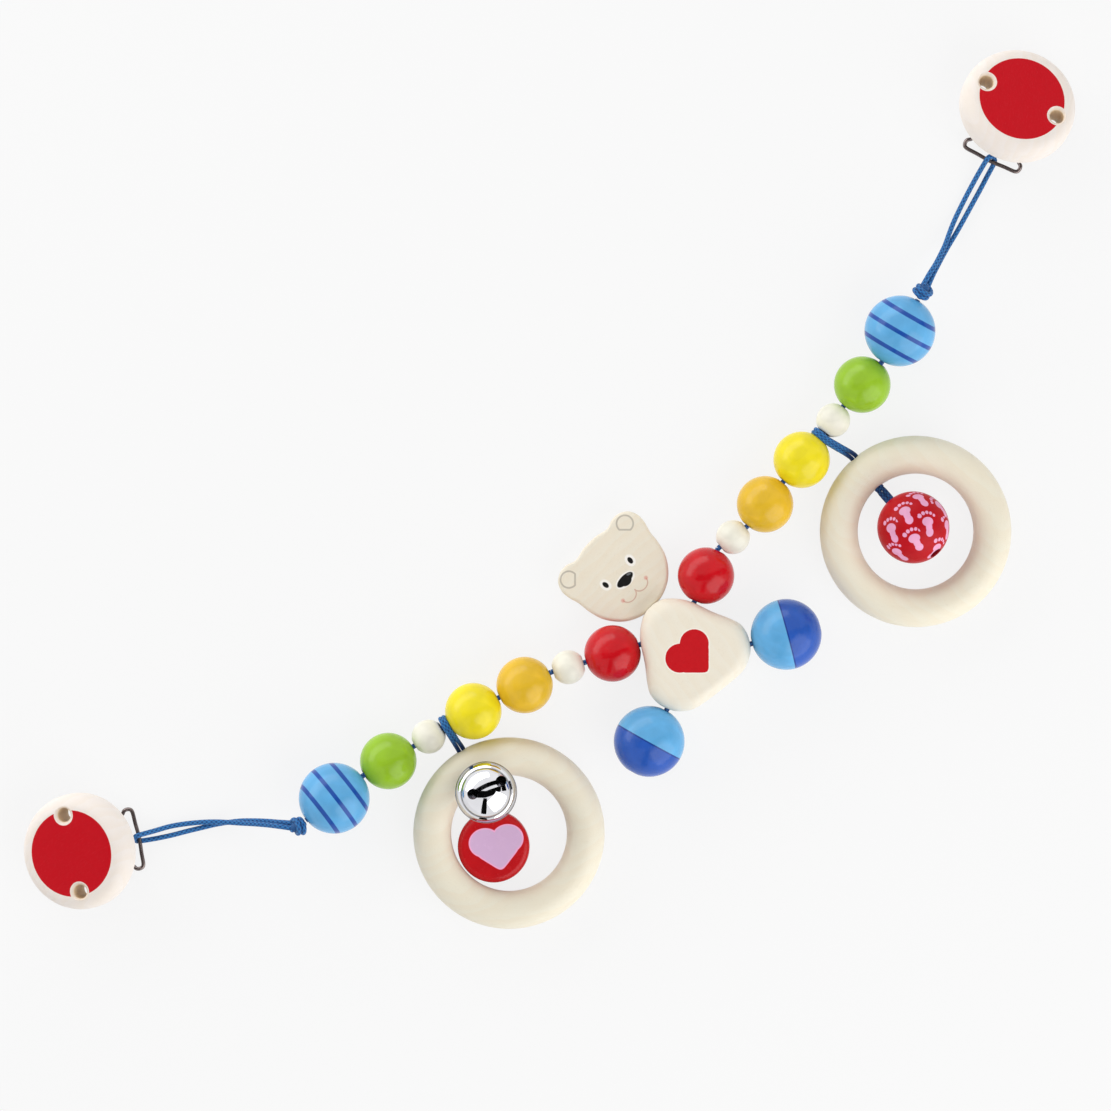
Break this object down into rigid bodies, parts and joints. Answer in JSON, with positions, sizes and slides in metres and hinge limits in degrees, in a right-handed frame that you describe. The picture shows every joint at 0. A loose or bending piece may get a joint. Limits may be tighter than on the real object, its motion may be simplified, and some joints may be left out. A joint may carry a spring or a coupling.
{
  "type": "pram chain toy",
  "caption": "Wooden pram chain toy: a bear between strings of round beads on cord, teething rings with a ball, a bell and a heart coin, and sprung disc clips at both ends.",
  "frame": {"origin": "middle of the bear body's flat back, on the table that the toy lies on", "axes": "+Z up from the table, +X to the right of the picture and +Y up it"},
  "size_m": [0.3713, 0.3107, 0.0341],
  "materials": {
    "natural_wood": "clear-waxed maple",
    "red_wood": "gloss lacquer over turned wood",
    "white_wood": "gloss lacquer over turned wood",
    "amber_wood": "gloss lacquer over turned wood",
    "yellow_wood": "gloss lacquer over turned wood",
    "green_wood": "gloss lacquer over turned wood",
    "striped_wood": "gloss lacquer, light blue with dark blue rings",
    "two_blue_wood": "gloss lacquer, light blue inner half and dark blue outer half",
    "ball_wood": "gloss lacquer, red with pink prints",
    "coin_wood": "gloss lacquer, red with a mauve heart",
    "blue_cord": "waxed braided polyester",
    "clip_steel": "nickel-plated spring steel",
    "bell_chrome": "polished nickel plate"
  },
  "bodies": {
    "bear": {"bear_body": "natural_wood", "bear_head": "natural_wood", "bear_hip_cord": "blue_cord", "bear_shoulder_cord": "blue_cord", "neck_dowel": "natural_wood"},
    "left_foot_hung": {"left_foot_cord": "blue_cord"},
    "left_foot_turning": {"left_foot_bead": "two_blue_wood"},
    "right_foot_hung": {"right_foot_cord": "blue_cord"},
    "right_foot_turning": {"right_foot_bead": "two_blue_wood"},
    "left_red_link": {"left_red_cord": "blue_cord"},
    "left_red_turning": {"left_red_bead": "red_wood"},
    "left_white_inner_link": {"left_white_inner_cord": "blue_cord"},
    "left_white_inner_turning": {"left_white_inner_bead": "white_wood"},
    "left_amber_link": {"left_amber_cord": "blue_cord"},
    "left_amber_turning": {"left_amber_bead": "amber_wood"},
    "left_yellow_link": {"left_yellow_cord": "blue_cord"},
    "left_yellow_turning": {"left_yellow_bead": "yellow_wood"},
    "left_white_outer_link": {"left_white_outer_cord": "blue_cord"},
    "left_white_outer_turning": {"left_white_outer_bead": "white_wood"},
    "left_green_link": {"left_green_cord": "blue_cord"},
    "left_green_turning": {"left_green_bead": "green_wood"},
    "left_striped_link": {"left_striped_cord": "blue_cord"},
    "left_striped_turning": {"left_striped_bead": "striped_wood"},
    "left_ring_hung": {"left_ring_tab": "blue_cord"},
    "left_ring_turned": {"left_pendant_cord": "blue_cord", "left_teething_ring": "natural_wood"},
    "coin_turning": {"heart_coin": "coin_wood"},
    "bell_hung": {"bell_shell": "bell_chrome"},
    "clapper_raised": {"bell_clapper": "bell_chrome"},
    "left_knot_link": {"left_cord_loop": "blue_cord"},
    "left_clip_hung": {"left_clip_pin": "clip_steel", "left_clip_plate": "clip_steel", "left_clip_spring": "clip_steel"},
    "left_lever_pressed": {"left_clip_disc": "natural_wood", "left_clip_lever": "clip_steel"},
    "right_red_link": {"right_red_cord": "blue_cord"},
    "right_red_turning": {"right_red_bead": "red_wood"},
    "right_white_inner_link": {"right_white_inner_cord": "blue_cord"},
    "right_white_inner_turning": {"right_white_inner_bead": "white_wood"},
    "right_amber_link": {"right_amber_cord": "blue_cord"},
    "right_amber_turning": {"right_amber_bead": "amber_wood"},
    "right_yellow_link": {"right_yellow_cord": "blue_cord"},
    "right_yellow_turning": {"right_yellow_bead": "yellow_wood"},
    "right_white_outer_link": {"right_white_outer_cord": "blue_cord"},
    "right_white_outer_turning": {"right_white_outer_bead": "white_wood"},
    "right_green_link": {"right_green_cord": "blue_cord"},
    "right_green_turning": {"right_green_bead": "green_wood"},
    "right_striped_link": {"right_striped_cord": "blue_cord"},
    "right_striped_turning": {"right_striped_bead": "striped_wood"},
    "right_ring_hung": {"right_ring_tab": "blue_cord"},
    "right_ring_turned": {"right_pendant_cord": "blue_cord", "right_teething_ring": "natural_wood"},
    "ball_turning": {"ball": "ball_wood"},
    "right_knot_link": {"right_cord_loop": "blue_cord"},
    "right_clip_hung": {"right_clip_pin": "clip_steel", "right_clip_plate": "clip_steel", "right_clip_spring": "clip_steel"},
    "right_lever_pressed": {"right_clip_disc": "natural_wood", "right_clip_lever": "clip_steel"}
  },
  "joints": [
    {"name": "left_foot_swing", "type": "hinge", "parent": "bear", "child": "left_foot_hung", "pos_m": [-0.00872, -0.0188, 0.0125], "axis": [0, 0, 1], "range_deg": [-15, 15]},
    {"name": "left_foot_spin", "type": "hinge", "parent": "left_foot_hung", "child": "left_foot_turning", "pos_m": [-0.01512, -0.03034, 0.0125], "axis": [-0.4848, -0.8746, 0], "continuous": true},
    {"name": "right_foot_swing", "type": "hinge", "parent": "bear", "child": "right_foot_hung", "pos_m": [0.02035, 0.00391, 0.0125], "axis": [0, 0, 1], "range_deg": [-15, 15]},
    {"name": "right_foot_spin", "type": "hinge", "parent": "right_foot_hung", "child": "right_foot_turning", "pos_m": [0.0331, 0.00733, 0.0125], "axis": [0.9659, 0.2588, 0], "continuous": true},
    {"name": "left_red_bend", "type": "hinge", "parent": "bear", "child": "left_red_link", "pos_m": [-0.01802, 0.0038, 0.01], "axis": [-0.309, 0.9511, 0], "range_deg": [-12, 12]},
    {"name": "left_red_spin", "type": "hinge", "parent": "left_red_link", "child": "left_red_turning", "pos_m": [-0.02801, 0.00056, 0.01], "axis": [-0.9511, -0.309, 0], "continuous": true},
    {"name": "left_white_inner_bend", "type": "hinge", "parent": "left_red_link", "child": "left_white_inner_link", "pos_m": [-0.03766, -0.00258, 0.01], "axis": [0, 0, 1], "range_deg": [-8, 8]},
    {"name": "left_white_inner_spin", "type": "hinge", "parent": "left_white_inner_link", "child": "left_white_inner_turning", "pos_m": [-0.04357, -0.00427, 0.01], "axis": [-0.9613, -0.2756, 0], "continuous": true},
    {"name": "left_amber_bend", "type": "hinge", "parent": "left_white_inner_link", "child": "left_amber_link", "pos_m": [-0.04968, -0.00602, 0.01], "axis": [-0.4384, 0.8988, 0], "range_deg": [-12, 12]},
    {"name": "left_amber_spin", "type": "hinge", "parent": "left_amber_link", "child": "left_amber_turning", "pos_m": [-0.05898, -0.01056, 0.01], "axis": [-0.8988, -0.4384, 0], "continuous": true},
    {"name": "left_yellow_bend", "type": "hinge", "parent": "left_amber_link", "child": "left_yellow_link", "pos_m": [-0.0681, -0.01501, 0.01], "axis": [0, 0, 1], "range_deg": [-12, 12]},
    {"name": "left_yellow_spin", "type": "hinge", "parent": "left_yellow_link", "child": "left_yellow_turning", "pos_m": [-0.07706, -0.01977, 0.01], "axis": [-0.8829, -0.4695, 0], "continuous": true},
    {"name": "left_white_outer_bend", "type": "hinge", "parent": "left_yellow_link", "child": "left_white_outer_link", "pos_m": [-0.0877, -0.02543, 0.01], "axis": [-0.5446, 0.8387, 0], "range_deg": [-12, 12]},
    {"name": "left_white_outer_spin", "type": "hinge", "parent": "left_white_outer_link", "child": "left_white_outer_turning", "pos_m": [-0.09284, -0.02876, 0.00938], "axis": [-0.8345, -0.5419, -0.1], "continuous": true},
    {"name": "left_green_bend", "type": "hinge", "parent": "left_white_outer_link", "child": "left_green_link", "pos_m": [-0.09813, -0.03221, 0.00875], "axis": [0, 0, 1], "range_deg": [-12, 12]},
    {"name": "left_green_spin", "type": "hinge", "parent": "left_green_link", "child": "left_green_turning", "pos_m": [-0.10703, -0.03734, 0.01], "axis": [-0.8597, -0.4963, 0.1208], "continuous": true},
    {"name": "left_striped_bend", "type": "hinge", "parent": "left_green_link", "child": "left_striped_link", "pos_m": [-0.11593, -0.04248, 0.01125], "axis": [-0.6157, 0.788, 0], "range_deg": [-12, 12]},
    {"name": "left_striped_spin", "type": "hinge", "parent": "left_striped_link", "child": "left_striped_turning", "pos_m": [-0.12601, -0.05035, 0.01251], "axis": [-0.7842, -0.6127, 0.098], "continuous": true},
    {"name": "left_ring_swing", "type": "hinge", "parent": "left_yellow_link", "child": "left_ring_hung", "pos_m": [-0.08671, -0.0249, 0.01], "axis": [0.8829, 0.4695, 0], "range_deg": [-90, 90]},
    {"name": "left_ring_turn", "type": "hinge", "parent": "left_ring_hung", "child": "left_ring_turned", "pos_m": [-0.06451, -0.06289, 0.0067], "axis": [0.5, -0.866, 0], "continuous": true},
    {"name": "coin_spin", "type": "hinge", "parent": "left_ring_turned", "child": "coin_turning", "pos_m": [-0.06993, -0.06763, 0.0048], "axis": [0.124, -0.9923, 0], "continuous": true},
    {"name": "bell_swing", "type": "hinge", "parent": "left_ring_turned", "child": "bell_hung", "pos_m": [-0.0724, -0.04782, 0.0099], "axis": [0.124, -0.9923, 0], "range_deg": [-20, 20]},
    {"name": "clapper_rise", "type": "slide", "parent": "bell_hung", "child": "clapper_raised", "axis": [0, 0, 1], "range_m": [0, 0.0134]},
    {"name": "left_knot_bend", "type": "hinge", "parent": "left_striped_link", "child": "left_knot_link", "pos_m": [-0.13593, -0.0581, 0.01375], "axis": [0, 0, 1], "range_deg": [-10, 10]},
    {"name": "left_clip_swing", "type": "hinge", "parent": "left_knot_link", "child": "left_clip_hung", "pos_m": [-0.1956, -0.06477, 0.0031], "axis": [-0.2079, 0.9781, 0], "range_deg": [-60, 60]},
    {"name": "left_lever_press", "type": "hinge", "parent": "left_clip_hung", "child": "left_lever_pressed", "pos_m": [-0.2133, -0.06853, 0.005], "axis": [-0.2079, 0.9781, 0], "range_deg": [0, 17], "stiffness_Nm_per_rad": 0.05, "springref_deg": -34.38, "deforming": ["left_clip_spring"]},
    {"name": "right_red_bend", "type": "hinge", "parent": "bear", "child": "right_red_link", "pos_m": [0.00067, 0.01841, 0.01], "axis": [0.9135, -0.4067, 0], "range_deg": [-12, 12]},
    {"name": "right_red_spin", "type": "hinge", "parent": "right_red_link", "child": "right_red_turning", "pos_m": [0.00494, 0.028, 0.01], "axis": [0.4067, 0.9135, 0], "continuous": true},
    {"name": "right_white_inner_bend", "type": "hinge", "parent": "right_red_link", "child": "right_white_inner_link", "pos_m": [0.00923, 0.03764, 0.01], "axis": [0, 0, 1], "range_deg": [-5, 5]},
    {"name": "right_white_inner_spin", "type": "hinge", "parent": "right_white_inner_link", "child": "right_white_inner_turning", "pos_m": [0.01446, 0.04158, 0.01], "axis": [0.7986, 0.6018, 0], "continuous": true},
    {"name": "right_amber_bend", "type": "hinge", "parent": "right_white_inner_link", "child": "right_amber_link", "pos_m": [0.01937, 0.04528, 0.01], "axis": [0.7771, -0.6293, 0], "range_deg": [-12, 12]},
    {"name": "right_amber_spin", "type": "hinge", "parent": "right_amber_link", "child": "right_amber_turning", "pos_m": [0.02576, 0.05317, 0.01], "axis": [0.6293, 0.7771, 0], "continuous": true},
    {"name": "right_yellow_bend", "type": "hinge", "parent": "right_amber_link", "child": "right_yellow_link", "pos_m": [0.03215, 0.06106, 0.01], "axis": [0, 0, 1], "range_deg": [-12, 12]},
    {"name": "right_yellow_spin", "type": "hinge", "parent": "right_yellow_link", "child": "right_yellow_turning", "pos_m": [0.03867, 0.06883, 0.01], "axis": [0.6428, 0.766, 0], "continuous": true},
    {"name": "right_white_outer_bend", "type": "hinge", "parent": "right_yellow_link", "child": "right_white_outer_link", "pos_m": [0.04623, 0.07783, 0.01], "axis": [0.809, -0.5878, 0], "range_deg": [-12, 12]},
    {"name": "right_white_outer_spin", "type": "hinge", "parent": "right_white_outer_link", "child": "right_white_outer_turning", "pos_m": [0.04982, 0.08278, 0.00937], "axis": [0.5847, 0.8048, -0.1016], "continuous": true},
    {"name": "right_green_bend", "type": "hinge", "parent": "right_white_outer_link", "child": "right_green_link", "pos_m": [0.05342, 0.08773, 0.00875], "axis": [0, 0, 1], "range_deg": [-12, 12]},
    {"name": "right_green_spin", "type": "hinge", "parent": "right_green_link", "child": "right_green_turning", "pos_m": [0.06003, 0.09533, 0.00999], "axis": [0.6512, 0.7491, 0.122], "continuous": true},
    {"name": "right_striped_bend", "type": "hinge", "parent": "right_green_link", "child": "right_striped_link", "pos_m": [0.06677, 0.10309, 0.01125], "axis": [0.866, -0.5, 0], "range_deg": [-12, 12]},
    {"name": "right_striped_spin", "type": "hinge", "parent": "right_striped_link", "child": "right_striped_turning", "pos_m": [0.07316, 0.11416, 0.01251], "axis": [0.4976, 0.8619, 0.098], "continuous": true},
    {"name": "right_ring_swing", "type": "hinge", "parent": "right_yellow_link", "child": "right_ring_hung", "pos_m": [0.04561, 0.0771, 0.01], "axis": [0.6428, 0.766, 0], "range_deg": [-90, 90]},
    {"name": "right_ring_turn", "type": "hinge", "parent": "right_ring_hung", "child": "right_ring_turned", "pos_m": [0.079, 0.0436, 0.0067], "axis": [0.6428, -0.766, 0], "continuous": true},
    {"name": "ball_spin", "type": "hinge", "parent": "right_ring_turned", "child": "ball_turning", "pos_m": [0.07784, 0.04498, 0.0127], "axis": [0.6088, -0.7255, 0.321], "continuous": true},
    {"name": "right_knot_bend", "type": "hinge", "parent": "right_striped_link", "child": "right_knot_link", "pos_m": [0.07946, 0.12506, 0.01375], "axis": [0, 0, 1], "range_deg": [-10, 10]},
    {"name": "right_clip_swing", "type": "hinge", "parent": "right_knot_link", "child": "right_clip_hung", "pos_m": [0.10565, 0.17486, 0.0031], "axis": [0.8988, -0.4384, 0], "range_deg": [-60, 60]},
    {"name": "right_lever_press", "type": "hinge", "parent": "right_clip_hung", "child": "right_lever_pressed", "pos_m": [0.11358, 0.19113, 0.005], "axis": [0.8988, -0.4384, 0], "range_deg": [0, 17], "stiffness_Nm_per_rad": 0.05, "springref_deg": -34.38, "deforming": ["right_clip_spring"]}
  ]
}
